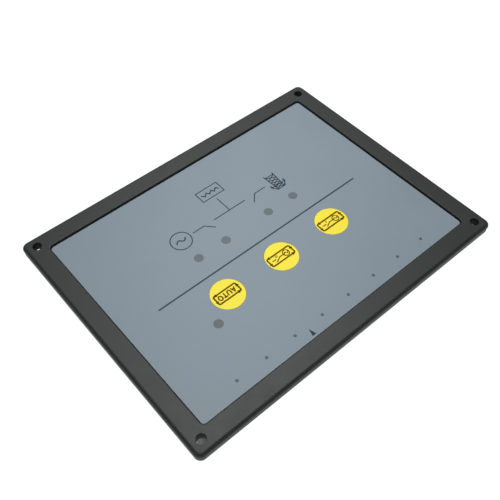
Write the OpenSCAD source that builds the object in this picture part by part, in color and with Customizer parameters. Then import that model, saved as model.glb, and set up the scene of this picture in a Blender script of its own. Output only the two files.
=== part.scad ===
// Panel-mounted genset controller: a moulded front case with a printed film, a circuit board with
// three keys and five status lamps behind it, a rear cover, and plug-in screw terminals.
// Origin: centre of the flange's seating face. +X right and +Y up the panel, +Z out of the face.

/* [Front case] */
// Width of the flange
case_w = 165.4; // [160:0.1:180]
// Height of the flange
case_h = 125.6; // [121:0.1:140]
// Thickness of the flange
flange_t = 4.5; // [4.3:0.1:6]
// Plan radius of the flange's corners
corner_r = 3; // [2.5:0.1:6]
// Rounding of the flange's front edge
edge_r = 1.6; // [0.6:0.1:1.7]
// Height of the set-back band round the flange's seating face
band_h = 2.6; // [1:0.1:2.8]
// Depth to which that band is set back
band_in = 0.2; // [0.1:0.1:0.8]
// Width of the rim round the film
rim_w = 9.05; // [8:0.05:10]
// Depth of the film's recess
recess_d = 1.6; // [1:0.1:2]
// Plan radius of the recess's corners
recess_r = 1.9; // [1.5:0.1:4]
// Rounding of the recess's front edge
recess_edge_r = 0.5; // [0.2:0.1:0.8]
// Thickness of the fascia behind the film
fascia_t = 2; // [1.5:0.1:3]
// Distance from the flange's edge in to the box behind it
body_inset = 9; // [8.5:0.1:11]
// Plan radius of the box's corners
body_r = 3; // [2.8:0.1:5]
// Wall of the box
wall_t = 2.2; // [1.6:0.1:2.6]
// Depth of the box's walls behind the seating face
body_depth = 21.5; // [20:0.5:30]
// Depth of the pockets that core out the back of the flange
core_d = 2.2; // [1:0.1:2.6]
// Lip of the flange's seating face, outside and inside the pockets
core_lip = 2; // [1.5:0.1:3]
// Rib between two pockets
core_rib = 2; // [1.2:0.1:4]
// Pockets along each long side
core_count_x = 5; // [3:1:8]
// Pockets along each short side
core_count_y = 4; // [2:1:6]
// Ribs on the back of the fascia: thickness
rib_t = 1.5; // [1:0.1:2]
// Ribs on the back of the fascia: drop
rib_drop = 2.5; // [1:0.1:3]
// Distance of the upright ribs from the middle
rib_x = 52; // [48:1:56]

/* [Mounting holes] */
// Diameter of the four holes in the flange
hole_d = 4.2; // [3.5:0.1:5]
// Distance of the holes from the flange's edges
hole_edge = 5.5; // [4.5:0.1:6]

/* [Film] */
// Thickness of the printed film
film_t = 0.5; // [0.3:0.05:0.8]
// Gap between the film and its recess
film_gap = 0.4; // [0.2:0.05:0.8]

/* [Keys] */
// Distance between the keys
key_pitch = 30; // [20:1:34]
// Height of the keys above the middle
key_y = 15; // [12:0.5:18]
// Diameter of a key's cap
key_d = 15.2; // [10:0.1:16]
// Thickness of a key's cap
key_cap_t = 1.4; // [1:0.1:1.8]
// Gap between a key's cap and the film
key_film_gap = 0.12; // [0.1:0.01:0.2]
// Gap between a key's cap and the fascia
key_gap = 0.4; // [0.3:0.05:0.6]
// Wall of the collar round each key's hole
key_collar_t = 1.5; // [1:0.1:2.5]
// Drop of that collar
key_collar_drop = 1.5; // [0.5:0.1:1.6]
// Diameter of a key's stem
stem_d = 3.5; // [2.5:0.1:3.8]
// Running clearance round the stem and its collar
stem_clear = 0.3; // [0.2:0.05:0.35]
// Diameter of the collar that holds the stem in its switch
stem_collar_d = 4.6; // [4.4:0.1:4.8]
// Height of that collar
stem_collar_h = 0.9; // [0.6:0.1:1]
// Nub under the stem: diameter
nub_d = 2; // [1:0.1:3]
// Nub under the stem: height
nub_h = 0.4; // [0.2:0.05:0.5]
// Side of the square switch
switch_w = 6; // [5.8:0.1:8]
// Height of the switch's base
switch_h = 3.3; // [3:0.1:3.6]
// Floor of the switch's base
switch_floor = 1.2; // [0.8:0.1:1.2]
// Thickness of the switch's steel cover
switch_cover_t = 0.3; // [0.2:0.05:0.4]
// Height of the snap dome
dome_h = 0.7; // [0.5:0.05:0.75]
// Thickness of the snap dome
dome_t = 0.15; // [0.1:0.01:0.2]

/* [Status lamps] */
// Height of the row of lamps from the middle
led_y = -7.5; // [-9:0.5:-5]
// Distance of the inner lamps from the middle
led_inner_x = 12.5; // [10:0.5:14]
// Distance of the outer lamps from the middle
led_outer_x = 27.5; // [24:0.5:31]
// Place of the fifth lamp: across
auto_led_x = 42; // [40:0.5:45]
// Place of the fifth lamp: up
auto_led_y = 23.7; // [22:0.1:26]
// Diameter of a lamp's lens
led_d = 3; // [2.5:0.1:3.6]
// Height of a lamp
led_h = 5.3; // [4.5:0.1:6]
// Radius of the lens's domed end
led_dome_r = 1.75; // [1.7:0.05:3]
// Rim at a lamp's foot: diameter
led_rim_d = 3.8; // [3.7:0.1:4.5]
// Rim at a lamp's foot: height
led_rim_h = 1; // [0.6:0.1:1.2]
// Diameter of a lamp's leads
led_lead_d = 0.5; // [0.4:0.05:0.6]
// Distance between a lamp's two leads
led_lead_pitch = 2.54; // [2:0.02:2.6]
// Bore of the light well in front of each lamp
well_d = 4.4; // [4:0.1:5]
// Wall of the light well
well_t = 1.2; // [0.8:0.1:2]
// Drop of the light well behind the fascia
well_drop = 3.3; // [2:0.1:3.6]

/* [Circuit board] */
// Thickness of the board
board_t = 1.6; // [1:0.1:2]
// Gap between the board and the box's walls
board_gap = 0.5; // [0.3:0.1:1]
// Distance from the fascia back to the board
standoff = 5.3; // [5:0.1:5.8]
// Diameter of the posts that carry the board
post_d = 6.5; // [5:0.1:8]
// Distance of the outer posts in from the board's side edges
post_edge = 6.8; // [5:0.1:9]
// Height of the outer posts above and below the middle
post_y = 28; // [24:1:30]
// Gap between the middle posts' screws and the headers
post_mid_gap = 4.6; // [3:0.1:6]
// Clearance of leads and pins in the board's holes, across
lead_clear = 0.3; // [0.1:0.05:0.5]
// Length of leads and pins past the board
lead_tail = 1.3; // [0.5:0.1:2]

/* [Screws] */
// Diameter of the screws' shanks
screw_d = 2.5; // [2:0.1:3]
// Diameter of the screws' heads
screw_head_d = 5.4; // [4.5:0.1:6]
// Height of the screws' heads
screw_head_h = 2; // [1.5:0.1:2.5]
// Rounding of the screws' heads
screw_head_r = 0.6; // [0.2:0.1:1]
// Cross recess in the heads: width of a wing
cross_w = 0.7; // [0.4:0.1:1]
// Cross recess in the heads: span
cross_l = 2.8; // [2:0.1:3.4]
// Cross recess in the heads: depth
cross_d = 1.1; // [0.5:0.1:1.3]
// Clearance of a shank in its pilot hole, across
pilot_clear = 0.1; // [0.05:0.05:0.2]
// Clearance of a shank in a through hole, across
shank_clear = 0.6; // [0.3:0.1:1]
// Length of the board's screws
board_screw_l = 6; // [5:0.5:6.5]
// Length of the cover's screws
cover_screw_l = 10; // [6:0.5:16]
// Spare depth of a pilot hole past its screw
pilot_spare = 0.6; // [0.3:0.1:1]

/* [Rear cover] */
// Thickness of the cover
cover_t = 2; // [1.5:0.1:3]
// Rounding of the cover's rear edge
cover_edge_r = 1; // [0.4:0.1:1.4]
// Height of the lip that fits inside the box
lip_h = 2; // [1:0.1:3]
// Thickness of that lip
lip_t = 1.6; // [1:0.1:2]
// Gap between the lip and the box
lip_gap = 0.25; // [0.1:0.05:0.5]
// Diameter of the corner posts that take the cover's screws
cover_post_d = 7.5; // [7:0.1:9]
// Distance of those posts in from the box's inner walls
cover_post_in = 3; // [2.5:0.1:3.4]
// Gap round each plug in the cover
opening_gap = 0.4; // [0.2:0.1:0.8]
// Number of vent slots in each group
vent_count = 7; // [3:1:8]
// Length of a vent slot
vent_l = 26; // [10:1:30]
// Width of a vent slot
vent_w = 2; // [1:0.1:3]
// Distance between vent slots
vent_pitch = 4.5; // [4:0.1:5]
// Distance of the two groups of slots from the middle
vent_x = 24; // [18:1:30]

/* [Terminals] */
// Pitch of the low-voltage terminals
dc_pitch = 5.08; // [5:0.01:5.2]
// Ways of the long low-voltage plug
dc_main_ways = 12; // [6:1:13]
// Ways of the short low-voltage plug
dc_aux_ways = 6; // [3:1:7]
// Pitch of the mains-voltage terminals
ac_pitch = 7.62; // [7.5:0.01:7.7]
// Ways of the long mains-voltage plug
ac_main_ways = 8; // [4:1:9]
// Ways of the short mains-voltage plug
ac_aux_ways = 4; // [2:1:5]
// Distance of each row of terminals in from the board's edge
row_edge = 8; // [7.5:0.1:9]
// Gap between the two headers of a row
block_gap = 6; // [3:0.5:10]
// Width of a header
header_w = 9; // [8.4:0.1:10]
// Height of a header
header_h = 12; // [11:0.1:13]
// Wall of a header
header_wall = 1; // [0.8:0.1:1.2]
// Floor of a header
header_floor = 2.5; // [1.5:0.1:3]
// Gap between a plug's nose and its header
nose_gap = 0.3; // [0.15:0.05:0.5]
// Space left between a plug's nose and the header's floor
nose_rest = 1; // [0.5:0.1:2]
// Width of a plug
plug_w = 10; // [9.4:0.1:10.6]
// Length of a plug outside its header
plug_l = 15.5; // [14:0.5:18]
// Chamfer of a plug's rear edges
plug_chamfer = 0.8; // [0.3:0.1:1.2]
// Groove between two ways of a plug: width
groove_w = 0.6; // [0.3:0.1:0.8]
// Groove between two ways of a plug: depth
groove_d = 0.5; // [0.2:0.1:0.8]
// Wire entry: width
entry_w = 3.2; // [2.8:0.1:3.6]
// Wire entry: height
entry_h = 3.8; // [3:0.1:3.9]
// Wire entry: depth
entry_d = 8; // [7:0.5:9]
// Wall between the wire entry and the plug's inner side
entry_wall = 1.5; // [1:0.1:2]
// Wall of the clamp inside the wire entry
clamp_t = 0.5; // [0.3:0.1:0.7]
// Distance of the clamp in from the wire entry's mouth
clamp_in = 1; // [0.5:0.1:1.5]
// Fit of the clamp and its screw, each side
clamp_gap = 0.1; // [0.05:0.05:0.2]
// Diameter of a terminal screw
clamp_screw_d = 3.5; // [3:0.1:3.7]
// Distance of the terminal screws from the plug's rear face
clamp_screw_z = 5; // [4:0.1:5.5]
// Distance of a terminal screw's head below the plug's side
clamp_screw_in = 1.2; // [0.5:0.1:2]
// Slot of a terminal screw: width
slot_w = 0.7; // [0.4:0.1:0.9]
// Slot of a terminal screw: depth
slot_d = 0.9; // [0.4:0.1:1.2]
// Diameter of the header's pins
pin_d = 1.2; // [1:0.05:1.3]
// Length of a pin above the header's floor
pin_l = 6.5; // [5:0.1:7]
// Clearance of a pin in the header's floor, across
pin_fit = 0.1; // [0.05:0.05:0.2]
// Clearance of a pin in the plug's socket, across
socket_fit = 0.6; // [0.2:0.1:0.8]

/* [Board parts] */
// Gap kept between neighbouring parts on the board
part_gap = 3; // [2:0.1:4]
// Relay: length
relay_l = 18.4; // [16:0.1:20]
// Relay: width
relay_w = 15; // [12:0.1:16]
// Relay: height
relay_h = 12; // [10:0.1:13]
// Relay: chamfer of its top
relay_chamfer = 0.8; // [0.3:0.1:1.5]
// Relay: height of its feet
relay_foot = 0.4; // [0.2:0.1:0.8]
// Capacitor: diameter
cap_d = 10; // [8:0.1:11]
// Capacitor: height
cap_h = 12.5; // [10:0.1:13]
// Capacitor: depth and height of the rolled groove near its foot
cap_groove = 0.5; // [0.2:0.1:0.8]
// Capacitor: distance of that groove from its foot
cap_groove_z = 1.8; // [1.4:0.1:3]
// Place of the capacitors on the board: up
cap_y = 24; // [22:0.5:26]
// Regulator: width
reg_w = 10; // [9:0.1:11]
// Regulator: length of its tab
reg_tab_l = 15.6; // [14:0.1:17]
// Regulator: thickness of its tab
reg_tab_t = 1.3; // [1:0.1:1.5]
// Regulator: length of its body
reg_body_l = 9.2; // [8:0.1:10]
// Regulator: height of its body
reg_body_h = 4.4; // [3.5:0.1:5]
// Regulator: hole in its tab
reg_hole_d = 3.7; // [3:0.1:4]
// Regulator: lead width
reg_lead_w = 0.8; // [0.5:0.1:1]
// Regulator: lead pitch
reg_lead_pitch = 2.54; // [2.4:0.02:2.7]
// Regulator: reach of its leads
reg_lead_l = 4; // [2:0.1:4.5]
// Microcontroller: side of its package
chip_w = 10; // [8:0.1:12]
// Microcontroller: thickness of its package
chip_t = 1.4; // [1:0.1:2]
// Microcontroller: gap under its package
chip_lift = 0.1; // [0.05:0.05:0.2]
// Microcontroller: leads on each side
chip_leads = 11; // [5:1:11]
// Microcontroller: pitch of its leads
chip_pitch = 0.8; // [0.65:0.05:0.85]
// Microcontroller: width of a lead
chip_lead_w = 0.35; // [0.2:0.05:0.4]
// Microcontroller: thickness of a lead
chip_lead_t = 0.15; // [0.1:0.05:0.2]
// Microcontroller: reach of a lead
chip_lead_l = 1; // [0.8:0.1:1.5]
// Place of the microcontroller above the middle
chip_y = 6; // [2:0.5:10]
// Crystal: length
crystal_l = 11; // [9:0.1:12]
// Crystal: width
crystal_w = 4.6; // [4:0.1:5]
// Crystal: height
crystal_h = 3.5; // [3:0.1:5]
// Crystal: plan radius of its ends
crystal_r = 2.2; // [1.5:0.1:2.3]
// Sensing resistors on each side
res_count = 6; // [2:1:6]
// Sensing resistors: pitch
res_pitch = 4.6; // [4.2:0.1:4.8]
// Sensing resistors: diameter
res_d = 3.2; // [2:0.1:3.6]
// Sensing resistors: length
res_l = 9; // [6:0.1:10]
// Sensing resistors: lead thickness
res_lead = 0.7; // [0.5:0.1:0.8]
// Sensing resistors: reach of each lead past the body
res_lead_l = 2; // [1:0.1:3]
// Sensing resistors: gap to the board
res_lift = 0.4; // [0.2:0.1:1]
// Place of the first sensing resistor from the middle
res_x = 34; // [32:0.5:37]
// Varistor: diameter
var_d = 10; // [8:0.1:11]
// Varistor: thickness
var_t = 4; // [3:0.1:5]
// Varistor: gap to the board
var_lift = 0.8; // [0.5:0.1:1.5]
// Varistor: lead thickness
var_lead = 0.8; // [0.5:0.1:1]
// Varistor: distance between its leads
var_lead_pitch = 5; // [4:0.1:6]
// Place of the varistors from the middle: across
var_x = 56; // [54:0.5:58]
// Place of the varistors below the middle
var_y = -16; // [-18:0.5:-12]

/* [Hidden] */
$fn = 64;
// Overshoot of a cut past the face that it opens
cut = 1;
// Depth to which a boss or rib is rooted in the wall that carries it
root = 0.5;

recess_w = case_w - 2 * rim_w;
recess_h = case_h - 2 * rim_w;
film_w = recess_w - 2 * film_gap;
film_h = recess_h - 2 * film_gap;
film_r = recess_r - film_gap;
body_w = case_w - 2 * body_inset;
body_h = case_h - 2 * body_inset;
inner_w = body_w - 2 * wall_t;
inner_h = body_h - 2 * wall_t;
inner_r = body_r - wall_t;
board_w = inner_w - 2 * board_gap;
board_h = inner_h - 2 * board_gap;
hole_x = case_w / 2 - hole_edge;
hole_y = case_h / 2 - hole_edge;

face_z = flange_t;
floor_z = face_z - recess_d;
fascia_back_z = floor_z - fascia_t;
board_front_z = fascia_back_z - standoff;
board_back_z = board_front_z - board_t;
wall_end_z = -body_depth;
cover_back_z = wall_end_z - cover_t;
header_rim_z = board_back_z - header_h;

cover_post_x = inner_w / 2 - cover_post_in;
cover_post_y = inner_h / 2 - cover_post_in;
board_notch = cover_post_in + cover_post_d / 2;
post_x = board_w / 2 - post_edge;
row_y = board_h / 2 - row_edge;
row_inner_y = row_y - header_w / 2;
post_mid_y = row_inner_y - post_mid_gap - screw_head_d / 2;
POSTS = concat(
    [for (x = [-1, 1], y = [-1, 1]) [x * post_x, y * post_y]],
    [for (y = [-1, 1]) [0, y * post_mid_y]]
);
pilot_d = screw_d + pilot_clear;
shank_hole_d = screw_d + shank_clear;

switch_top_z = board_front_z + switch_h;
switch_floor_z = board_front_z + switch_floor;
stem_foot_z = switch_top_z - stem_collar_h;
key_face_z = floor_z + film_t;
key_cap_z = key_face_z - key_cap_t;
key_hole_d = key_d + 2 * key_gap;
switch_bore_d = stem_collar_d + 2 * stem_clear;

LEDS = [
    [-led_outer_x, led_y],
    [-led_inner_x, led_y],
    [led_inner_x, led_y],
    [led_outer_x, led_y],
    [auto_led_x, auto_led_y]
];

function block_l(ways, pitch) = ways * pitch + 2 * header_wall;
function row_l(a, b, pitch) = block_l(a, pitch) + block_gap + block_l(b, pitch);
function main_x(a, b, pitch) = (block_l(a, pitch) - row_l(a, b, pitch)) / 2;
function aux_x(a, b, pitch) = (row_l(a, b, pitch) - block_l(b, pitch)) / 2;
// Each block of terminals: side of the board, place along its row, ways and pitch
DC_MAIN = [1, main_x(dc_main_ways, dc_aux_ways, dc_pitch), dc_main_ways, dc_pitch];
DC_AUX = [1, aux_x(dc_main_ways, dc_aux_ways, dc_pitch), dc_aux_ways, dc_pitch];
AC_MAIN = [-1, main_x(ac_main_ways, ac_aux_ways, ac_pitch), ac_main_ways, ac_pitch];
AC_AUX = [-1, aux_x(ac_main_ways, ac_aux_ways, ac_pitch), ac_aux_ways, ac_pitch];
BLOCKS = [DC_MAIN, DC_AUX, AC_MAIN, AC_AUX];
nose_l = header_h - header_floor - nose_rest;
nose_w = header_w - 2 * header_wall - 2 * nose_gap;
entry_y = entry_wall + entry_h / 2 - plug_w / 2;
clamp_top_y = entry_y + entry_h / 2 - clamp_gap;
clamp_screw_l = plug_w / 2 - clamp_screw_in - clamp_top_y - clamp_gap;

relay_y = -(row_inner_y - part_gap - relay_w / 2);
relay_x = post_d / 2 + part_gap + relay_l / 2;
relay_pitch = relay_l + part_gap;
crystal_x = chip_w / 2 + chip_lead_l + part_gap + crystal_l / 2;
cap_x = -(post_x - screw_head_d / 2 - part_gap - cap_d / 2);
reg_x = auto_led_x - led_lead_pitch / 2 - part_gap - reg_lead_l - reg_body_l;
reg_y = row_inner_y - part_gap - reg_w / 2;

// Rounded rectangle about the origin
module rounded(w, h, r) {
    square([w - 2 * r, h], center = true);
    square([w, h - 2 * r], center = true);
    for (x = [-1, 1], y = [-1, 1])
        translate([x * (w / 2 - r), y * (h / 2 - r)])
            circle(r);
}

// Round-ended slot about the origin, along X
module slot(l, w) {
    square([l - w, w], center = true);
    for (side = [-1, 1])
        translate([side * (l - w) / 2, 0])
            circle(d = w);
}

// Block with a rounded plan, whose edge follows the profile that is given as its child.
// The profile runs outwards from the corner's axis and upwards from the block's foot.
module swept_block(w, h, r, t) {
    linear_extrude(t)
        square([w - 2 * r, h - 2 * r], center = true);
    for (side = [0, 1]) {
        mirror([side, 0, 0])
            translate([w / 2 - r, h / 2 - r, 0])
                rotate([90, 0, 0])
                    linear_extrude(h - 2 * r)
                        children();
        mirror([0, side, 0])
            translate([r - w / 2, h / 2 - r, 0])
                rotate([90, 0, 90])
                    linear_extrude(w - 2 * r)
                        children();
    }
    for (x = [0, 1], y = [0, 1])
        mirror([x, 0, 0])
            mirror([0, y, 0])
                translate([w / 2 - r, h / 2 - r, 0])
                    rotate_extrude(angle = 90)
                        children();
}

// Edge profile with a rounded top corner
module round_edge(r, t, e) {
    difference() {
        square([r, t]);
        translate([r - e, t - e])
            difference() {
                square(e + cut);
                circle(e);
            }
    }
}

// Edge profile of a cut whose mouth opens out along a rounded edge
module flared_edge(r, t, e) {
    square([r, t]);
    translate([r, t - e])
        difference() {
            square(e);
            translate([e, 0])
                circle(e);
        }
}

// Places of repeated features
module at_corners(x, y) {
    for (i = [-1, 1], j = [-1, 1])
        translate([i * x, j * y, 0])
            children();
}

module at_posts() {
    for (p = POSTS)
        translate([p[0], p[1], 0])
            children();
}

module at_keys() {
    for (i = [-1, 0, 1])
        translate([i * key_pitch, key_y, 0])
            children();
}

module at_leds() {
    for (p = LEDS)
        translate([p[0], p[1], 0])
            children();
}

// A block of terminals stands on its header's rim, with its screws facing out of the board
module at_block(block) {
    translate([block[1], block[0] * row_y, header_rim_z])
        mirror([0, block[0] < 0 ? 1 : 0, 0])
            children();
}

module at_ways(ways, pitch) {
    for (i = [0 : ways - 1])
        translate([(i - (ways - 1) / 2) * pitch, 0, 0])
            children();
}

module at_all_ways() {
    for (block = BLOCKS)
        at_block(block)
            at_ways(block[2], block[3])
                children();
}

module core_pockets(length, count) {
    end = hole_edge + hole_d / 2 + core_lip;
    run = length - 2 * end;
    pocket_l = (run - (count - 1) * core_rib) / count;
    for (i = [0 : count - 1])
        translate([end - length / 2 + i * (pocket_l + core_rib), core_lip, -cut])
            cube([pocket_l, body_inset - 2 * core_lip, core_d + cut]);
}

module flange_pockets() {
    for (side = [0, 1]) {
        mirror([0, side, 0])
            translate([0, -case_h / 2, 0])
                core_pockets(case_w, core_count_x);
        mirror([side, 0, 0])
            translate([case_w / 2, 0, 0])
                rotate([0, 0, 90])
                    core_pockets(case_h, core_count_y);
    }
}

// Rounded plate on a band that is set back from its edge
module flange_plate() {
    translate([0, 0, band_h])
        swept_block(case_w, case_h, corner_r, flange_t - band_h)
            round_edge(corner_r, flange_t - band_h, edge_r);
    linear_extrude(band_h + root)
        rounded(case_w - 2 * band_in, case_h - 2 * band_in, corner_r - band_in);
}

module case_shell() {
    difference() {
        union() {
            flange_plate();
            translate([0, 0, wall_end_z])
                linear_extrude(body_depth + root)
                    rounded(body_w, body_h, body_r);
        }
        translate([0, 0, wall_end_z - cut])
            linear_extrude(body_depth + fascia_back_z + cut)
                rounded(inner_w, inner_h, inner_r);
        translate([0, 0, floor_z])
            swept_block(recess_w, recess_h, recess_r, recess_d)
                flared_edge(recess_r, recess_d, recess_edge_r);
        flange_pockets();
    }
}

// Ribs, collars and posts on the back of the fascia
module fascia_back() {
    for (x = [-1, 1])
        translate([x * rib_x - rib_t / 2, -inner_h / 2 - root, fascia_back_z - rib_drop])
            cube([rib_t, inner_h + 2 * root, rib_drop + root]);
    translate([-inner_w / 2 - root, -rib_t / 2, fascia_back_z - rib_drop])
        cube([inner_w + 2 * root, rib_t, rib_drop + root]);
    at_keys()
        translate([0, 0, fascia_back_z - key_collar_drop])
            cylinder(d = key_hole_d + 2 * key_collar_t, h = key_collar_drop + root);
    at_leds()
        translate([0, 0, fascia_back_z - well_drop])
            cylinder(d = well_d + 2 * well_t, h = well_drop + root);
    at_posts()
        translate([0, 0, board_front_z])
            cylinder(d = post_d, h = standoff + root);
    at_corners(cover_post_x, cover_post_y)
        translate([0, 0, wall_end_z])
            cylinder(d = cover_post_d, h = body_depth + fascia_back_z + root);
}

module front_case() {
    color("#3a3a3c")
        difference() {
            union() {
                case_shell();
                fascia_back();
            }
            at_corners(hole_x, hole_y)
                translate([0, 0, -cut])
                    cylinder(d = hole_d, h = flange_t + 2 * cut);
            at_keys()
                translate([0, 0, fascia_back_z - key_collar_drop - cut])
                    cylinder(d = key_hole_d, h = key_collar_drop + fascia_t + 2 * cut);
            at_leds()
                translate([0, 0, fascia_back_z - well_drop - cut])
                    cylinder(d = well_d, h = well_drop + fascia_t + 2 * cut);
            at_posts()
                translate([0, 0, board_front_z - cut])
                    cylinder(d = pilot_d, h = cut + board_screw_l - board_t + pilot_spare);
            at_corners(cover_post_x, cover_post_y)
                translate([0, 0, wall_end_z - cut])
                    cylinder(d = pilot_d, h = cut + cover_screw_l - cover_t + pilot_spare);
        }
}

module fascia_film() {
    color("#8a96a1")
        difference() {
            translate([0, 0, floor_z])
                linear_extrude(film_t)
                    rounded(film_w, film_h, film_r);
            at_keys()
                translate([0, 0, floor_z - cut])
                    cylinder(d = key_d + 2 * key_film_gap, h = film_t + 2 * cut);
        }
}

module cover_lip() {
    span_x = inner_w - 2 * lip_gap;
    span_y = inner_h - 2 * lip_gap;
    difference() {
        linear_extrude(lip_h + root)
            square([span_x, span_y], center = true);
        translate([0, 0, -cut])
            linear_extrude(lip_h + root + 2 * cut)
                square([span_x - 2 * lip_t, span_y - 2 * lip_t], center = true);
        at_corners(cover_post_x, cover_post_y)
            translate([0, 0, root])
                cylinder(d = cover_post_d + 2 * lip_gap, h = lip_h + cut);
        at_corners(inner_w / 2, inner_h / 2)
            translate([0, 0, root])
                linear_extrude(lip_h + cut)
                    square(2 * cover_post_in, center = true);
    }
}

module cover_vents() {
    for (side = [-1, 1], i = [0 : vent_count - 1])
        translate([side * vent_x, (i - (vent_count - 1) / 2) * vent_pitch, -cut])
            linear_extrude(cover_t + 2 * cut)
                slot(vent_l, vent_w);
}

module rear_cover() {
    color("#2f2f31")
        difference() {
            union() {
                translate([0, 0, wall_end_z])
                    mirror([0, 0, 1])
                        swept_block(body_w, body_h, body_r, cover_t)
                            round_edge(body_r, cover_t, cover_edge_r);
                translate([0, 0, wall_end_z - root])
                    cover_lip();
            }
            translate([0, 0, cover_back_z])
                cover_vents();
            at_corners(cover_post_x, cover_post_y)
                translate([0, 0, cover_back_z - cut])
                    cylinder(d = shank_hole_d, h = cover_t + 2 * cut);
            for (block = BLOCKS)
                translate([block[1], block[0] * row_y, cover_back_z - cut])
                    linear_extrude(cover_t + 2 * cut)
                        square(
                            [block[2] * block[3] + 2 * opening_gap, plug_w + 2 * opening_gap],
                            center = true
                        );
        }
}

// Pan-head screw with a cross recess, its head's seat at the origin and its shank along +Z
module screw(length) {
    difference() {
        union() {
            cylinder(d = screw_d, h = length);
            rotate([180, 0, 0])
                rotate_extrude()
                    round_edge(screw_head_d / 2, screw_head_h, screw_head_r);
        }
        for (a = [0, 90])
            rotate([0, 0, a])
                translate([-cross_l / 2, -cross_w / 2, -screw_head_h - cut])
                    cube([cross_l, cross_w, cross_d + cut]);
    }
}

module cover_screws() {
    color("#b9babc")
        at_corners(cover_post_x, cover_post_y)
            translate([0, 0, cover_back_z])
                screw(cover_screw_l);
}

module board_screws() {
    color("#b9babc")
        at_posts()
            translate([0, 0, board_back_z])
                screw(board_screw_l);
}

module at_led_leads() {
    at_leds()
        for (side = [-1, 1])
            translate([side * led_lead_pitch / 2, 0, 0])
                children();
}

module circuit_board() {
    color("#1f6b3a")
        translate([0, 0, board_back_z])
            difference() {
                linear_extrude(board_t)
                    difference() {
                        square([board_w, board_h], center = true);
                        at_corners(board_w / 2, board_h / 2)
                            square(2 * board_notch, center = true);
                    }
                at_posts()
                    translate([0, 0, -cut])
                        cylinder(d = shank_hole_d, h = board_t + 2 * cut);
                at_led_leads()
                    translate([0, 0, -cut])
                        cylinder(d = led_lead_d + lead_clear, h = board_t + 2 * cut);
                translate([0, 0, -board_back_z])
                    at_all_ways()
                        translate([0, 0, header_h - cut])
                            cylinder(d = pin_d + lead_clear, h = board_t + 2 * cut);
            }
}

module switch_bases() {
    color("#26262a")
        at_keys()
            difference() {
                translate([-switch_w / 2, -switch_w / 2, board_front_z])
                    cube([switch_w, switch_w, switch_h]);
                translate([0, 0, switch_floor_z])
                    cylinder(d = switch_bore_d, h = switch_h);
            }
}

module switch_covers() {
    color("#c9cacc")
        at_keys()
            difference() {
                translate([-switch_w / 2, -switch_w / 2, switch_top_z])
                    cube([switch_w, switch_w, switch_cover_t]);
                translate([0, 0, switch_top_z - cut])
                    cylinder(d = stem_d + 2 * stem_clear, h = switch_cover_t + 2 * cut);
            }
}

// Shallow spring dome, standing on its rim in the switch's base
module snap_dome(place) {
    rim_r = stem_collar_d / 2;
    crown_r = nub_d / 2;
    color("#d5d6d8")
        translate([place * key_pitch, key_y, switch_floor_z])
            rotate_extrude()
                polygon([
                    [rim_r - dome_t, 0],
                    [rim_r, 0],
                    [rim_r, dome_t],
                    [crown_r, dome_h],
                    [0, dome_h],
                    [0, dome_h - dome_t],
                    [crown_r, dome_h - dome_t]
                ]);
}

module on_dome() {
    snap_dome(-1);
}

module off_dome() {
    snap_dome(0);
}

module auto_dome() {
    snap_dome(1);
}

// Round key flush with the film, whose stem carries a press down to the switch
module key(place) {
    color("#f5e04a")
        translate([place * key_pitch, key_y, 0]) {
            translate([0, 0, key_cap_z])
                cylinder(d = key_d, h = key_cap_t);
            translate([0, 0, stem_foot_z])
                cylinder(d = stem_d, h = key_face_z - root - stem_foot_z);
            translate([0, 0, stem_foot_z])
                cylinder(d = stem_collar_d, h = stem_collar_h);
            translate([0, 0, stem_foot_z - nub_h])
                cylinder(d = nub_d, h = nub_h + root);
        }
}

module on_key() {
    key(-1);
}

module off_key() {
    key(0);
}

module auto_key() {
    key(1);
}

module status_led(place, tint) {
    color(tint)
        translate([LEDS[place][0], LEDS[place][1], board_front_z]) {
            cylinder(d = led_rim_d, h = led_rim_h);
            intersection() {
                cylinder(d = led_d, h = led_h);
                translate([0, 0, led_h - led_dome_r])
                    sphere(led_dome_r);
            }
            cylinder(d = led_d, h = led_h - led_dome_r);
        }
}

module mains_available_led() {
    status_led(0, "#cfd6da");
}

module mains_on_load_led() {
    status_led(1, "#b9d8b4");
}

module generator_on_load_led() {
    status_led(2, "#dcb4ae");
}

module generator_available_led() {
    status_led(3, "#bfd4b4");
}

module auto_led() {
    status_led(4, "#d2b6ac");
}

module led_leads() {
    color("#c9cacc")
        at_led_leads()
            translate([0, 0, board_back_z - lead_tail])
                cylinder(d = led_lead_d, h = board_t + lead_tail);
}

module microcontroller() {
    color("#1d1d20")
        translate([-chip_w / 2, chip_y - chip_w / 2, board_back_z - chip_lift - chip_t])
            cube([chip_w, chip_w, chip_t]);
}

// Gull-wing leads round the package, standing on the board
module microcontroller_leads() {
    half_w = chip_w / 2;
    shoulder = chip_lift + chip_t / 2;
    bend = chip_lead_l / 3;
    color("#c9cacc")
        translate([0, chip_y, board_back_z])
            for (a = [0 : 90 : 270], i = [0 : chip_leads - 1])
                rotate([0, 0, a])
                    translate([half_w, (i - (chip_leads - 1) / 2) * chip_pitch + chip_lead_w / 2, 0])
                        rotate([90, 0, 0])
                            linear_extrude(chip_lead_w)
                                polygon([
                                    [0, -shoulder],
                                    [bend, -shoulder],
                                    [2 * bend, -chip_lead_t],
                                    [chip_lead_l, -chip_lead_t],
                                    [chip_lead_l, 0],
                                    [2 * bend - chip_lead_t, 0],
                                    [bend - chip_lead_t, chip_lead_t - shoulder],
                                    [0, chip_lead_t - shoulder]
                                ]);
}

module crystal() {
    color("#c3c4c6")
        translate([crystal_x, chip_y, board_back_z - crystal_h])
            linear_extrude(crystal_h)
                rounded(crystal_l, crystal_w, crystal_r);
}

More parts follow.
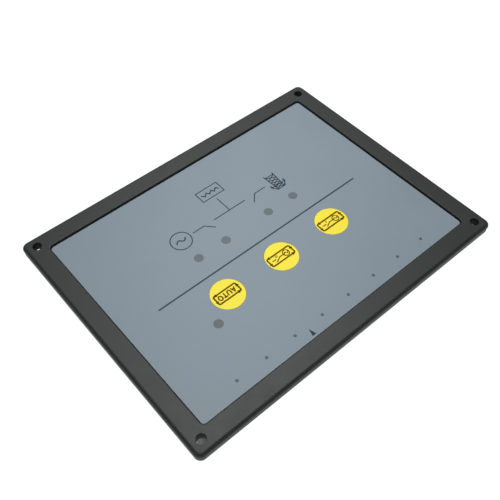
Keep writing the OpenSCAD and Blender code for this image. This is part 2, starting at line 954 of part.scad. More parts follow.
// Regulator lying on its tab along the row of terminals
module voltage_regulator() {
    color("#3c3c40")
        translate([reg_x, reg_y, board_back_z]) {
            difference() {
                translate([reg_body_l - reg_tab_l, -reg_w / 2, -reg_tab_t])
                    cube([reg_tab_l, reg_w, reg_tab_t]);
                translate([(reg_body_l - reg_tab_l) / 2, 0, -reg_tab_t - cut])
                    cylinder(d = reg_hole_d, h = reg_tab_t + 2 * cut);
            }
            translate([0, -reg_w / 2, -reg_body_h])
                cube([reg_body_l, reg_w, reg_body_h - root]);
            for (i = [-1, 0, 1])
                translate([reg_body_l - root, i * reg_lead_pitch - reg_lead_w / 2, -reg_tab_t])
                    cube([reg_lead_l + root, reg_lead_w, reg_tab_t]);
        }
}

// Aluminium can with a rolled groove near its foot
module smoothing_capacitors() {
    r = cap_d / 2;
    color("#3a4a6a")
        for (i = [0, 1])
            translate([cap_x + i * (cap_d + part_gap), cap_y, board_back_z])
                rotate([180, 0, 0])
                    rotate_extrude()
                        polygon([
                            [0, 0],
                            [r, 0],
                            [r, cap_groove_z - cap_groove],
                            [r - cap_groove, cap_groove_z],
                            [r, cap_groove_z + cap_groove],
                            [r, cap_h - cap_groove],
                            [r - cap_groove, cap_h],
                            [0, cap_h]
                        ]);
}

// Sealed relay on four feet, with its top edges chamfered
module relay(place) {
    body_t = relay_h - relay_foot;
    color("#25304a")
        translate([place[0], place[1], board_back_z]) {
            intersection() {
                translate([-relay_l / 2, 0, -relay_foot])
                    rotate([90, 0, 90])
                        linear_extrude(relay_l)
                            chamfered_section(relay_w, body_t, relay_chamfer);
                translate([0, relay_w / 2, -relay_foot])
                    rotate([90, 0, 0])
                        linear_extrude(relay_w)
                            chamfered_section(relay_l, body_t, relay_chamfer);
            }
            at_corners(relay_l / 2 - relay_chamfer, relay_w / 2 - relay_chamfer)
                translate([-relay_chamfer / 2, -relay_chamfer / 2, -relay_foot - root])
                    cube([relay_chamfer, relay_chamfer, relay_foot + root]);
        }
}

// Section that hangs below its base line, with its two lower corners chamfered
module chamfered_section(w, h, c) {
    polygon([
        [-w / 2, 0],
        [w / 2, 0],
        [w / 2, c - h],
        [w / 2 - c, -h],
        [c - w / 2, -h],
        [-w / 2, c - h]
    ]);
}

module fuel_relay() {
    relay([-relay_x - relay_pitch, relay_y]);
}

module start_relay() {
    relay([-relay_x, relay_y]);
}

module mains_relay() {
    relay([relay_x, relay_y]);
}

module generator_relay() {
    relay([relay_x + relay_pitch, relay_y]);
}

// Resistor lying across the board, with its two leads bent down to it
module resistor() {
    axis_z = -res_lift - res_d / 2;
    lead_span = res_l + 2 * res_lead_l;
    translate([0, res_l / 2, axis_z])
        rotate([90, 0, 0])
            cylinder(d = res_d, h = res_l);
    translate([-res_lead / 2, -lead_span / 2, axis_z - res_lead / 2])
        cube([res_lead, lead_span, res_lead]);
    for (side = [0, 1])
        mirror([0, side, 0])
            translate([-res_lead / 2, lead_span / 2 - res_lead, axis_z - res_lead / 2])
                cube([res_lead, res_lead, res_lead / 2 - axis_z]);
}

module sensing_resistors() {
    color("#8fb0c4")
        for (side = [-1, 1], i = [0 : res_count - 1])
            translate([side * (res_x + i * res_pitch), 0, board_back_z])
                resistor();
}

module surge_varistors() {
    color("#2f5fa0")
        for (side = [-1, 1])
            translate([side * var_x, var_y, board_back_z]) {
                translate([-var_t / 2, 0, -var_lift - var_d / 2])
                    rotate([0, 90, 0])
                        cylinder(d = var_d, h = var_t);
                for (lead = [-1, 1])
                    translate([-var_lead / 2, (lead * var_lead_pitch - var_lead) / 2, -var_d / 2])
                        cube([var_lead, var_lead, var_d / 2]);
            }
}

// Open-topped header that a plug is pushed into
module terminal_header(block) {
    length = block_l(block[2], block[3]);
    color("#3f9a4a")
        at_block(block)
            difference() {
                translate([-length / 2, -header_w / 2, 0])
                    cube([length, header_w, header_h]);
                translate([header_wall - length / 2, header_wall - header_w / 2, -cut])
                    cube([
                        length - 2 * header_wall,
                        header_w - 2 * header_wall,
                        header_h - header_floor + cut
                    ]);
                at_ways(block[2], block[3])
                    cylinder(d = pin_d + pin_fit, h = header_h + cut);
            }
}

module dc_main_header() {
    terminal_header(DC_MAIN);
}

module dc_aux_header() {
    terminal_header(DC_AUX);
}

module ac_main_header() {
    terminal_header(AC_MAIN);
}

module ac_aux_header() {
    terminal_header(AC_AUX);
}

module header_pins() {
    color("#d8c89a")
        at_all_ways()
            translate([0, 0, header_h - header_floor - pin_l])
                cylinder(d = pin_d, h = pin_l + header_floor + board_t + lead_tail);
}

// Plug with a wire entry at its rear, and a screw in its side, for each way
module terminal_plug(block) {
    ways = block[2];
    pitch = block[3];
    length = ways * pitch;
    color("#47a453")
        at_block(block)
            difference() {
                union() {
                    translate([-length / 2, 0, 0])
                        rotate([90, 0, 90])
                            linear_extrude(length)
                                chamfered_section(plug_w, plug_l, plug_chamfer);
                    translate([nose_gap - length / 2, -nose_w / 2, -root])
                        cube([length - 2 * nose_gap, nose_w, nose_l + root]);
                }
                at_ways(ways, pitch) {
                    translate([-entry_w / 2, entry_y - entry_h / 2, -plug_l - cut])
                        cube([entry_w, entry_h, entry_d + cut]);
                    translate([0, entry_y, clamp_screw_z - plug_l])
                        rotate([-90, 0, 0])
                            cylinder(d = clamp_screw_d + 2 * clamp_gap, h = plug_w);
                    translate([0, 0, nose_l - pin_l])
                        cylinder(d = pin_d + socket_fit, h = pin_l + cut);
                }
                at_ways(ways - 1, pitch)
                    translate([-groove_w / 2, plug_w / 2 - groove_d, -plug_l - cut])
                        cube([groove_w, groove_d + cut, plug_l + 2 * cut]);
            }
}

module dc_main_plug() {
    terminal_plug(DC_MAIN);
}

module dc_aux_plug() {
    terminal_plug(DC_AUX);
}

module ac_main_plug() {
    terminal_plug(AC_MAIN);
}

module ac_aux_plug() {
    terminal_plug(AC_AUX);
}

// Square tubes that line the wire entries
module wire_clamps() {
    clamp_w = entry_w - 2 * clamp_gap;
    clamp_h = entry_h - 2 * clamp_gap;
    clamp_l = entry_d - clamp_in;
    color("#c9cacc")
        at_all_ways()
            translate([0, entry_y, clamp_in - plug_l])
                linear_extrude(clamp_l)
                    difference() {
                        square([clamp_w, clamp_h], center = true);
                        square([clamp_w - 2 * clamp_t, clamp_h - 2 * clamp_t], center = true);
                    }
}

// Slotted screws that press the wires in their clamps
module clamp_screws() {
    color("#c3c4c6")
        at_all_ways()
            translate([0, clamp_top_y + clamp_gap, clamp_screw_z - plug_l])
                rotate([-90, 0, 0])
                    difference() {
                        cylinder(d = clamp_screw_d, h = clamp_screw_l);
                        translate([-clamp_screw_d, -slot_w / 2, clamp_screw_l - slot_d])
                            cube([2 * clamp_screw_d, slot_w, slot_d + cut]);
                    }
}

front_case();
fascia_film();
rear_cover();
cover_screws();
circuit_board();
board_screws();
switch_bases();
switch_covers();
on_dome();
off_dome();
auto_dome();
on_key();
off_key();
auto_key();
mains_available_led();
mains_on_load_led();
generator_on_load_led();
generator_available_led();
auto_led();
led_leads();
microcontroller();
microcontroller_leads();
crystal();
voltage_regulator();
smoothing_capacitors();
fuel_relay();
start_relay();
mains_relay();
generator_relay();
sensing_resistors();
surge_varistors();
dc_main_header();
dc_aux_header();
ac_main_header();
ac_aux_header();
header_pins();
dc_main_plug();
dc_aux_plug();
ac_main_plug();
ac_aux_plug();
wire_clamps();
clamp_screws();
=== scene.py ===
import math

import bmesh
import bpy
from mathutils import Matrix, Vector


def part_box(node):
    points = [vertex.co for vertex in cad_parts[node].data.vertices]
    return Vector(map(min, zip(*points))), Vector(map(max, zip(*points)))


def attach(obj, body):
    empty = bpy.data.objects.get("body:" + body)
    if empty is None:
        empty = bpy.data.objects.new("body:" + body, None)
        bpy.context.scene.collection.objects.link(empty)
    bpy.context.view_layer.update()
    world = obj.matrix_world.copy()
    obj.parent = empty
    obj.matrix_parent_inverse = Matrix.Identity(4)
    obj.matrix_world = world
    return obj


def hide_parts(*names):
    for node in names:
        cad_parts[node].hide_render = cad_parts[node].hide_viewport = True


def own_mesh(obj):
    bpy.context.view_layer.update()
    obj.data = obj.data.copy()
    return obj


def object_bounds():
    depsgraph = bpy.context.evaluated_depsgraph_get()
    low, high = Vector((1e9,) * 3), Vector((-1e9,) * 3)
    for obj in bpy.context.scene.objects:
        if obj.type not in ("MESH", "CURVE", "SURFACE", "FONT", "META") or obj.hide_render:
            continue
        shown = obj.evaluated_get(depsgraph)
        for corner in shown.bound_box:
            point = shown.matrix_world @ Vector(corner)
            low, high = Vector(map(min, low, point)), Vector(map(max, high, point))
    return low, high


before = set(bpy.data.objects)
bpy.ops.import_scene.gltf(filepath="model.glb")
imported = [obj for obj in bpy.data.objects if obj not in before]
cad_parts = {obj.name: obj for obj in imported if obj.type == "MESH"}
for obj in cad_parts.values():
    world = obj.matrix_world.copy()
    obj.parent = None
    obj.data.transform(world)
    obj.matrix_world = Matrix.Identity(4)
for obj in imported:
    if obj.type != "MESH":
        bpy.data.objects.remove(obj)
cad_low, cad_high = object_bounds()

# Camera: it stands over the upper right corner of the panel and looks down on the face.
# Its place and turn come from the flange's corners and hole centres in the photograph.
camera_lens = bpy.data.cameras.new("camera")
camera_lens.lens = 50
camera_lens.sensor_width = 36
camera = bpy.data.objects.new("camera", camera_lens)
camera.matrix_world = Matrix((
    (-0.75834, -0.51701, 0.39709, 0.12747),
    (0.65196, -0.60049, 0.46308, 0.14278),
    (-0.00102, 0.61003, 0.79243, 0.24155),
    (0, 0, 0, 1),
))
bpy.context.scene.collection.objects.link(camera)
bpy.context.scene.camera = camera

# Table and light: a white light table, which stays white under the part and takes no shadow.
# One large soft lamp hangs high behind the part, and a small strip over the film lights its middle.
# The room is white at the horizon and dim above.
TABLE_SIZE = 40
TABLE_CLEAR = 0.0001
TABLE_GLOW = 1.0
SKY_STOPS = ((0.0, 1.0), (0.10, 1.0), (0.15, 0.03), (0.6, 0.08), (0.85, 0.22))
STRIP_TURN = 45


def surface(name, colour, roughness, metallic=0.0, specular=0.5):
    # A plain material, with what is the same all over it set on the shader
    material = bpy.data.materials.new(name)
    material.use_nodes = True
    shader = material.node_tree.nodes["Principled BSDF"]
    shader.inputs["Base Color"].default_value = (*colour, 1)
    shader.inputs["Roughness"].default_value = roughness
    shader.inputs["Metallic"].default_value = metallic
    shader.inputs["Specular IOR Level"].default_value = specular
    return material


def fill_ramp(ramp, stops):
    # Sets a new colour ramp, which starts with two stops, to the given (place, colour) stops
    for index, (place, colour) in enumerate(stops):
        stop = ramp.elements[index] if index < 2 else ramp.elements.new(place)
        stop.position = place
        stop.color = (*colour, 1)


def soft_lamp(name, place, width, length, watts):
    # A rectangular lamp that faces the part
    lamp = bpy.data.lights.new(name, "AREA")
    lamp.shape = "RECTANGLE"
    lamp.size = width
    lamp.size_y = length
    lamp.energy = watts
    hung = bpy.data.objects.new(name, lamp)
    hung.location = place
    hung.rotation_euler = (-Vector(place)).to_track_quat("-Z", "Y").to_euler()
    bpy.context.scene.collection.objects.link(hung)
    return hung


bpy.ops.object.select_all(action="DESELECT")
bpy.ops.mesh.primitive_plane_add(size=TABLE_SIZE, location=(0, 0, cad_low.z - TABLE_CLEAR))
table = bpy.context.object
table.name = "table"
table_white = surface("table_white", (0.05, 0.05, 0.05), roughness=0.9, specular=0.1)
table_shader = table_white.node_tree.nodes["Principled BSDF"]
table_shader.inputs["Emission Color"].default_value = (1, 1, 1, 1)
table_shader.inputs["Emission Strength"].default_value = TABLE_GLOW
table.data.materials.append(table_white)

room = bpy.data.worlds.new("room")
room.use_nodes = True
room_tree = room.node_tree
toward = room_tree.nodes.new("ShaderNodeTexCoord")
height = room_tree.nodes.new("ShaderNodeSeparateXYZ")
sky = room_tree.nodes.new("ShaderNodeValToRGB")
fill_ramp(sky.color_ramp, [(place, (grey, grey, grey)) for place, grey in SKY_STOPS])
room_tree.links.new(toward.outputs["Generated"], height.inputs["Vector"])
room_tree.links.new(height.outputs["Z"], sky.inputs["Fac"])
room_tree.links.new(sky.outputs["Color"], room_tree.nodes["Background"].inputs["Color"])
bpy.context.scene.world = room
bpy.context.scene.view_settings.view_transform = "Standard"

soft_lamp("overhead_lamp", place=(-0.21, -0.29, 0.93), width=0.25, length=0.8, watts=8.5)
strip_lamp = soft_lamp(
    "strip_lamp", place=(-0.002, -0.012, 0.088), width=0.20, length=0.03, watts=0.025
)
strip_lamp.rotation_euler = (0, 0, math.radians(STRIP_TURN))
strip_lamp.visible_glossy = False
strip_lamp.visible_camera = False

# Front case: one dark grey moulding in ABS, with a fine spark-eroded texture on all its faces.
# Its four corner holes are left rough and dull by the pins that form them.
# It carries every other piece: the film in its recess, the board on its posts, the cover on its walls.
MM = 0.001
HOLE_X = 77.2 * MM
HOLE_Y = 57.3 * MM
HOLE_WALL = 2.15 * MM
HOLE_DULL = 0.30
NOISE_LOW = 0.3
NOISE_HIGH = 0.7


def texture(material, kind, size, **sockets):
    # A texture in the part's own frame, with features of about the given size
    tree = material.node_tree
    place = tree.nodes.get("Texture Coordinate") or tree.nodes.new("ShaderNodeTexCoord")
    pattern = tree.nodes.new(kind)
    pattern.inputs["Scale"].default_value = 1 / size
    for socket, value in sockets.items():
        pattern.inputs[socket].default_value = value
    tree.links.new(place.outputs["Object"], pattern.inputs["Vector"])
    return pattern


def noise(material, size, detail, roughness=0.5):
    # The strength of a noise, most of which lies between NOISE_LOW and NOISE_HIGH
    pattern = texture(material, "ShaderNodeTexNoise", size, Detail=detail, Roughness=roughness)
    return pattern.outputs["Fac"]


def vary(material, strength, socket, low, high):
    # Lets a texture move one of the shader's sockets between two values
    tree = material.node_tree
    spread = tree.nodes.new("ShaderNodeMapRange")
    spread.inputs["To Min"].default_value = low
    spread.inputs["To Max"].default_value = high
    tree.links.new(strength, spread.inputs["Value"])
    tree.links.new(spread.outputs["Result"], tree.nodes["Principled BSDF"].inputs[socket])


def tint(material, strength, stops):
    # Lets a texture move the colour along a ramp of (place, colour) stops
    tree = material.node_tree
    ramp = tree.nodes.new("ShaderNodeValToRGB")
    fill_ramp(ramp.color_ramp, stops)
    tree.links.new(strength, ramp.inputs["Fac"])
    tree.links.new(ramp.outputs["Color"], tree.nodes["Principled BSDF"].inputs["Base Color"])


def drift(material, strength, colour, low, high):
    # Lets a noise move the colour between two shades of itself
    shades = [tuple(channel * factor for channel in colour) for factor in (low, high)]
    tint(material, strength, list(zip((NOISE_LOW, NOISE_HIGH), shades)))


def relief(material, strength, depth):
    # Lets a texture raise the surface
    tree = material.node_tree
    bump = tree.nodes.new("ShaderNodeBump")
    bump.inputs["Strength"].default_value = 1
    bump.inputs["Distance"].default_value = depth
    tree.links.new(strength, bump.inputs["Height"])
    tree.links.new(bump.outputs["Normal"], tree.nodes["Principled BSDF"].inputs["Normal"])


def moulded(name, colour, roughness, grain, depth, specular=0.5):
    # Moulded plastic: an etched grain, a cloudy gloss, and a little drift in the colour
    material = surface(name, colour, roughness, specular=specular)
    etched = noise(material, grain, detail=3.0, roughness=0.6)
    cloudy = noise(material, 40 * grain, detail=4.0, roughness=0.65)
    relief(material, etched, depth)
    vary(material, cloudy, "Roughness", low=roughness - 0.07, high=roughness + 0.07)
    drift(material, cloudy, colour, low=0.9, high=1.1)
    return material


def dull_holes(material):
    # Makes the walls of the four corner holes matt and leaves the rest of the case as it is
    tree = material.node_tree
    quarter = tree.nodes.new("ShaderNodeVectorMath")
    quarter.operation = "ABSOLUTE"
    offset = tree.nodes.new("ShaderNodeVectorMath")
    offset.operation = "MULTIPLY_ADD"
    offset.inputs[1].default_value = (1, 1, 0)
    offset.inputs[2].default_value = (-HOLE_X, -HOLE_Y, 0)
    reach = tree.nodes.new("ShaderNodeVectorMath")
    reach.operation = "LENGTH"
    inside = tree.nodes.new("ShaderNodeMath")
    inside.operation = "LESS_THAN"
    inside.inputs[1].default_value = HOLE_WALL
    matt = tree.nodes.new("ShaderNodeMath")
    matt.operation = "MULTIPLY_ADD"
    matt.inputs[1].default_value = HOLE_DULL
    roughness = tree.nodes["Principled BSDF"].inputs["Roughness"]
    tree.links.new(tree.nodes["Texture Coordinate"].outputs["Object"], quarter.inputs[0])
    tree.links.new(quarter.outputs["Vector"], offset.inputs[0])
    tree.links.new(offset.outputs["Vector"], reach.inputs[0])
    tree.links.new(reach.outputs["Value"], inside.inputs[0])
    tree.links.new(inside.outputs["Value"], matt.inputs[0])
    tree.links.new(roughness.links[0].from_socket, matt.inputs[2])
    tree.links.new(matt.outputs["Value"], roughness)


def paint(material, *names):
    # Gives solids of the frame their material
    for name in names:
        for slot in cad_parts[name].material_slots:
            slot.material = material


case_plastic = moulded(
    "case_plastic", (0.016, 0.021, 0.018), roughness=0.50,
    grain=0.22 * MM, depth=0.010 * MM, specular=0.33,
)
dull_holes(case_plastic)
paint(case_plastic, "front_case")

# Push switches: a black moulded base with a tinned steel cover staked on it.
# The three of them sit on the front of the board, one behind each key.


def metal(name, colour, roughness, grain=0.5 * MM):
    # Bare or plated metal: fine drawing marks, and a gloss that changes from place to place
    material = surface(name, colour, roughness, metallic=1.0)
    drawn = noise(material, grain, detail=5.0, roughness=0.7)
    handled = noise(material, 8 * grain, detail=3.0, roughness=0.6)
    relief(material, drawn, 0.002 * MM)
    vary(material, handled, "Roughness", low=roughness - 0.08, high=roughness + 0.12)
    drift(material, handled, colour, low=0.88, high=1)
    return material


switch_black = moulded(
    "switch_black", (0.020, 0.020, 0.022), roughness=0.45, grain=0.1 * MM, depth=0.003 * MM
)
tinned_steel = metal("tinned_steel", (0.70, 0.70, 0.70), roughness=0.32)
paint(switch_black, "switch_bases")
paint(tinned_steel, "switch_covers", "led_leads", "microcontroller_leads", "wire_clamps")

# Snap domes: sheets of spring steel pressed to shallow caps, each standing on its rim in a switch.
# The stem of a key rests on the crown. On the real switch a press flattens the dome, but here each dome
# is a rigid piece fixed to the housing.
KEY_PITCH = 30.0
KEY_ROW_Y = 15.0
DOME_SIDES = 48
DOME_SHEET = 0.15 * MM
DOME_STEPS = ((0.5, 0.28), (0.4, 0.16), (0.4, 0.11))
DOWNWARDS = -1
dome_steel = metal("dome_steel", (0.75, 0.75, 0.77), roughness=0.22)
dome_low, dome_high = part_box("off_dome")


def round_plate(radius, sides, place):
    # A flat round plate to start a piece from, selected in edit mode
    bpy.ops.object.select_all(action="DESELECT")
    bpy.ops.mesh.primitive_circle_add(vertices=sides, radius=radius, fill_type="NGON", location=place)
    bpy.ops.object.mode_set(mode="EDIT")
    return bpy.context.object


def thicken(piece, thickness, direction):
    # Gives a sheet its thickness, upwards or downwards from its faces
    bpy.context.view_layer.objects.active = piece
    sheet = piece.modifiers.new("sheet", "SOLIDIFY")
    sheet.thickness = thickness
    sheet.offset = direction
    bpy.ops.object.modifier_apply(modifier=sheet.name)


def settle(piece, name, material):
    # Leaves a finished piece at the origin with its place in its mesh
    piece.name = name
    piece.data.name = name
    bpy.ops.object.select_all(action="DESELECT")
    piece.select_set(True)
    bpy.context.view_layer.objects.active = piece
    bpy.ops.object.transform_apply(location=True, rotation=True, scale=True)
    piece.data.materials.clear()
    piece.data.materials.append(material)
    return piece


def put(piece, x, y, turn=0):
    # Moves a piece that was modelled about the panel's middle to its place, after turning it there
    spin = Matrix.Rotation(math.radians(turn), 4, "Z")
    piece.matrix_world = Matrix.Translation((x * MM, y * MM, 0)) @ spin @ piece.matrix_world
    return piece


def copy_at(pattern, x, y, turn=0):
    # Another copy of a piece, with a mesh of its own
    twin = pattern.copy()
    twin.data = pattern.data.copy()
    bpy.context.scene.collection.objects.link(twin)
    return put(twin, x, y, turn)


dome_pattern = round_plate(
    (dome_high.x - dome_low.x) / 2, DOME_SIDES, (0, 0, dome_low.z + DOME_SHEET)
)
for inward, rise in DOME_STEPS:
    bpy.ops.mesh.inset(thickness=inward * MM, depth=rise * MM)
bpy.ops.object.mode_set(mode="OBJECT")
thicken(dome_pattern, DOME_SHEET, DOWNWARDS)
for key, place in (("on", -1), ("off", 0), ("auto", 1)):
    dome_x = place * KEY_PITCH
    dome = settle(copy_at(dome_pattern, dome_x, KEY_ROW_Y), f"{key}_snap_dome", dome_steel)
    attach(dome, "housing")
    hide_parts(f"{key}_dome")
    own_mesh(dome)
bpy.data.objects.remove(dome_pattern)

# Status lamps: five domed lamps cast in tinted epoxy, soldered to the front of the board.
# Each one stands in a light well of the case, behind its window in the film.
LAMP_ROUGHNESS = 0.20
LAMP_CLEARNESS = 0.25


def cast_resin(name, colour):
    # Tinted epoxy: glossy, with a faint clouding of the diffuser in it
    material = surface(name, colour, LAMP_ROUGHNESS, specular=0.6)
    diffuser = noise(material, 0.6 * MM, detail=3.0)
    drift(material, diffuser, colour, low=0.85, high=1)
    vary(material, diffuser, "Roughness", low=LAMP_ROUGHNESS - 0.04, high=LAMP_ROUGHNESS + 0.06)
    shader = material.node_tree.nodes["Principled BSDF"]
    shader.inputs["Transmission Weight"].default_value = LAMP_CLEARNESS
    return material


paint(cast_resin("lamp_clear", (0.75, 0.80, 0.85)), "mains_available_led")
paint(cast_resin("lamp_green", (0.35, 0.60, 0.33)), "mains_on_load_led", "generator_available_led")
paint(cast_resin("lamp_red", (0.60, 0.30, 0.26)), "generator_on_load_led", "auto_led")

# Circuit board: glass-fibre laminate under green solder mask, with its tracks showing through the mask.
# It lies on six posts of the case and is held by six zinc-plated screws.
TRACK_PITCH = 9 * MM
TRACK_RISE = 0.02 * MM
board_green = surface("board_green", (0.03, 0.16, 0.06), roughness=0.30)
tracks = texture(
    board_green, "ShaderNodeTexBrick", TRACK_PITCH,
    **{
        "Color1": (0, 0, 0, 1),
        "Color2": (0.12, 0.12, 0.12, 1),
        "Mortar": (1, 1, 1, 1),
        "Mortar Size": 0.03,
    },
)
weave = noise(board_green, 0.5 * MM, detail=2.0)
tint(board_green, tracks.outputs["Color"], [(0.0, (0.022, 0.125, 0.045)), (1.0, (0.05, 0.25, 0.10))])
relief(board_green, tracks.outputs["Fac"], TRACK_RISE)
vary(board_green, weave, "Roughness", low=0.22, high=0.40)
zinc_screw = metal("zinc_screw", (0.62, 0.62, 0.64), roughness=0.30, grain=0.3 * MM)
paint(board_green, "circuit_board")
paint(zinc_screw, "board_screws", "cover_screws", "clamp_screws")

# Board parts: microcontroller, regulator, crystal, capacitors, relays, resistors and varistors.
# They are bought-in packages, moulded, drawn, sleeved or dipped, and soldered to the back of the board.


def dipped(name, colour, roughness):
    # A dipped or shrunk-on coat: glossy, with a slight orange peel
    material = surface(name, colour, roughness)
    peel = noise(material, 0.8 * MM, detail=2.0)
    relief(material, peel, 0.02 * MM)
    vary(material, peel, "Roughness", low=roughness - 0.05, high=roughness + 0.08)
    drift(material, peel, colour, low=0.88, high=1)
    return material


chip_resin = moulded(
    "chip_resin", (0.018, 0.018, 0.020), roughness=0.55, grain=0.12 * MM, depth=0.004 * MM
)
relay_case = moulded(
    "relay_case", (0.02, 0.03, 0.07), roughness=0.42, grain=0.2 * MM, depth=0.003 * MM
)
paint(chip_resin, "microcontroller", "voltage_regulator")
paint(metal("can_steel", (0.66, 0.66, 0.68), roughness=0.28), "crystal")
paint(dipped("capacitor_sleeve", (0.03, 0.05, 0.11), roughness=0.25), "smoothing_capacitors")
paint(relay_case, "fuel_relay", "start_relay", "mains_relay", "generator_relay")
paint(dipped("resistor_coat", (0.25, 0.42, 0.55), roughness=0.30), "sensing_resistors")
paint(dipped("varistor_coat", (0.03, 0.11, 0.35), roughness=0.28), "surge_varistors")

# Rear cover: a dark moulded plate with vent slots, let into the box by a lip.
# Four zinc-plated screws hold it to the corner posts of the case.
cover_plastic = moulded(
    "cover_plastic", (0.032, 0.032, 0.033), roughness=0.52, grain=0.25 * MM, depth=0.010 * MM
)
paint(cover_plastic, "rear_cover")

# Terminals: green polyamide headers on the board, and the plugs that are pushed into them from behind.
# Each way has a brass pin, a tinned clamp for the wire and a slotted screw that presses on it.
terminal_green = moulded(
    "terminal_green", (0.045, 0.27, 0.085), roughness=0.40, grain=0.3 * MM, depth=0.004 * MM
)
paint(
    terminal_green,
    "dc_main_header", "dc_aux_header", "ac_main_header", "ac_aux_header",
    "dc_main_plug", "dc_aux_plug", "ac_main_plug", "ac_aux_plug",
)
paint(metal("pin_brass", (0.70, 0.62, 0.40), roughness=0.30), "header_pins")

# Fascia film: one sheet of satin polyester, printed blue-grey on its back and stuck in the recess.
# Its surface has a very fine tooth, and handling has left it a little cloudy.
FILM_TOOTH = 0.15 * MM
FILM_RISE = 0.002 * MM
FILM_SPECULAR = 0.15
film_grey = surface("film_grey", (0.228, 0.278, 0.321), roughness=0.50, specular=FILM_SPECULAR)
tooth = noise(film_grey, FILM_TOOTH, detail=2.0)
handling = noise(film_grey, 28 * MM, detail=5.0, roughness=0.6)
relief(film_grey, tooth, FILM_RISE)
vary(film_grey, handling, "Roughness", low=0.45, high=0.55)
tint(film_grey, handling, [(NOISE_LOW, (0.223, 0.272, 0.314)), (NOISE_HIGH, (0.233, 0.284, 0.328))])
paint(film_grey, "fascia_film")

# Lamp windows: five round fields that are left thin in the print, so the lamps behind can shine through.
# Unlit, they look a little darker than the film, and each takes a trace of its lamp's colour.
FILM_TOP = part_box("fascia_film")[1].z
INK_ROOT = 0.010 * MM
INK_RISE = 0.025 * MM
INK_SHEET = INK_ROOT + INK_RISE
INK_Z = FILM_TOP - INK_ROOT
UPWARDS = 1
WINDOW_ACROSS = 4.3
WINDOW_SIDES = 48


def ink_disc(across, sides):
    # A round field of print, with a ring of faces round its rim
    disc = round_plate(across / 2 * MM, sides, (0, 0, INK_Z))
    bpy.ops.mesh.inset(thickness=across / 10 * MM)
    bpy.ops.object.mode_set(mode="OBJECT")
    thicken(disc, INK_SHEET, UPWARDS)
    return disc


def ink(name, colour, roughness=0.50, specular=FILM_SPECULAR):
    # Screen-printed ink: even, with the weave of the screen just showing in its gloss
    material = surface(name, colour, roughness, specular=specular)
    screen = noise(material, 0.2 * MM, detail=2.0)
    vary(material, screen, "Roughness", low=roughness - 0.06, high=roughness + 0.06)
    drift(material, screen, colour, low=0.94, high=1.06)
    return material


window_pattern = ink_disc(WINDOW_ACROSS, WINDOW_SIDES)
for name, x, y, colour in (
    ("mains_available_window", -27.4, -7.55, (0.123, 0.150, 0.175)),
    ("mains_on_load_window", -12.4, -7.55, (0.121, 0.161, 0.161)),
    ("generator_on_load_window", 12.5, -7.40, (0.136, 0.147, 0.161)),
    ("generator_available_window", 27.6, -7.40, (0.123, 0.150, 0.156)),
    ("auto_window", 41.95, 23.65, (0.115, 0.140, 0.143)),
):
    window = settle(copy_at(window_pattern, x, y), name, ink(name, colour))
    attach(window, "housing")
bpy.data.objects.remove(window_pattern)

# Divider, dots and pointer: dark slate ink on the film.
# A fine line parts the keys from the diagram.
# A row of dots with one pointer runs along the upper edge.
DIVIDER_ENDS = ((-56.4, 3.0), (56.5, 3.0))
DIVIDER_WIDTH = 0.74
DOT_ROW_Y = 47.65
DOT_ACROSS = 1.45
DOT_SIDES = 24
DOT_PITCH = 15.0
DOT_COUNT = 8
POINTER_LENGTH = 3.5
POINTER_WIDTH = 1.9
POINTER_TIP = (16.35, 48.85)
DOWN = -90
MITRE_LIMIT = 0.4
slate_ink = ink("slate_ink", (0.026, 0.047, 0.064))
dot_ink = ink("dot_ink", (0.080, 0.110, 0.142))
pointer_ink = ink("pointer_ink", (0.016, 0.022, 0.038))


def mitred(corners, width, closed):
    # The right and left edge points of a stroke at each of its corners
    count = len(corners)
    sections = []
    for index, corner in enumerate(corners):
        before = corners[index - 1] if closed or index else None
        after = corners[(index + 1) % count] if closed or index < count - 1 else None
        arriving = (corner - before).normalized() if before else (after - corner).normalized()
        leaving = (after - corner).normalized() if after else arriving
        across = Vector((-arriving.y - leaving.y, arriving.x + leaving.x)).normalized()
        slant = max(MITRE_LIMIT, across.dot(Vector((-arriving.y, arriving.x))))
        reach = width / 2 * MM / slant
        sections.append((corner - across * reach, corner + across * reach))
    return sections


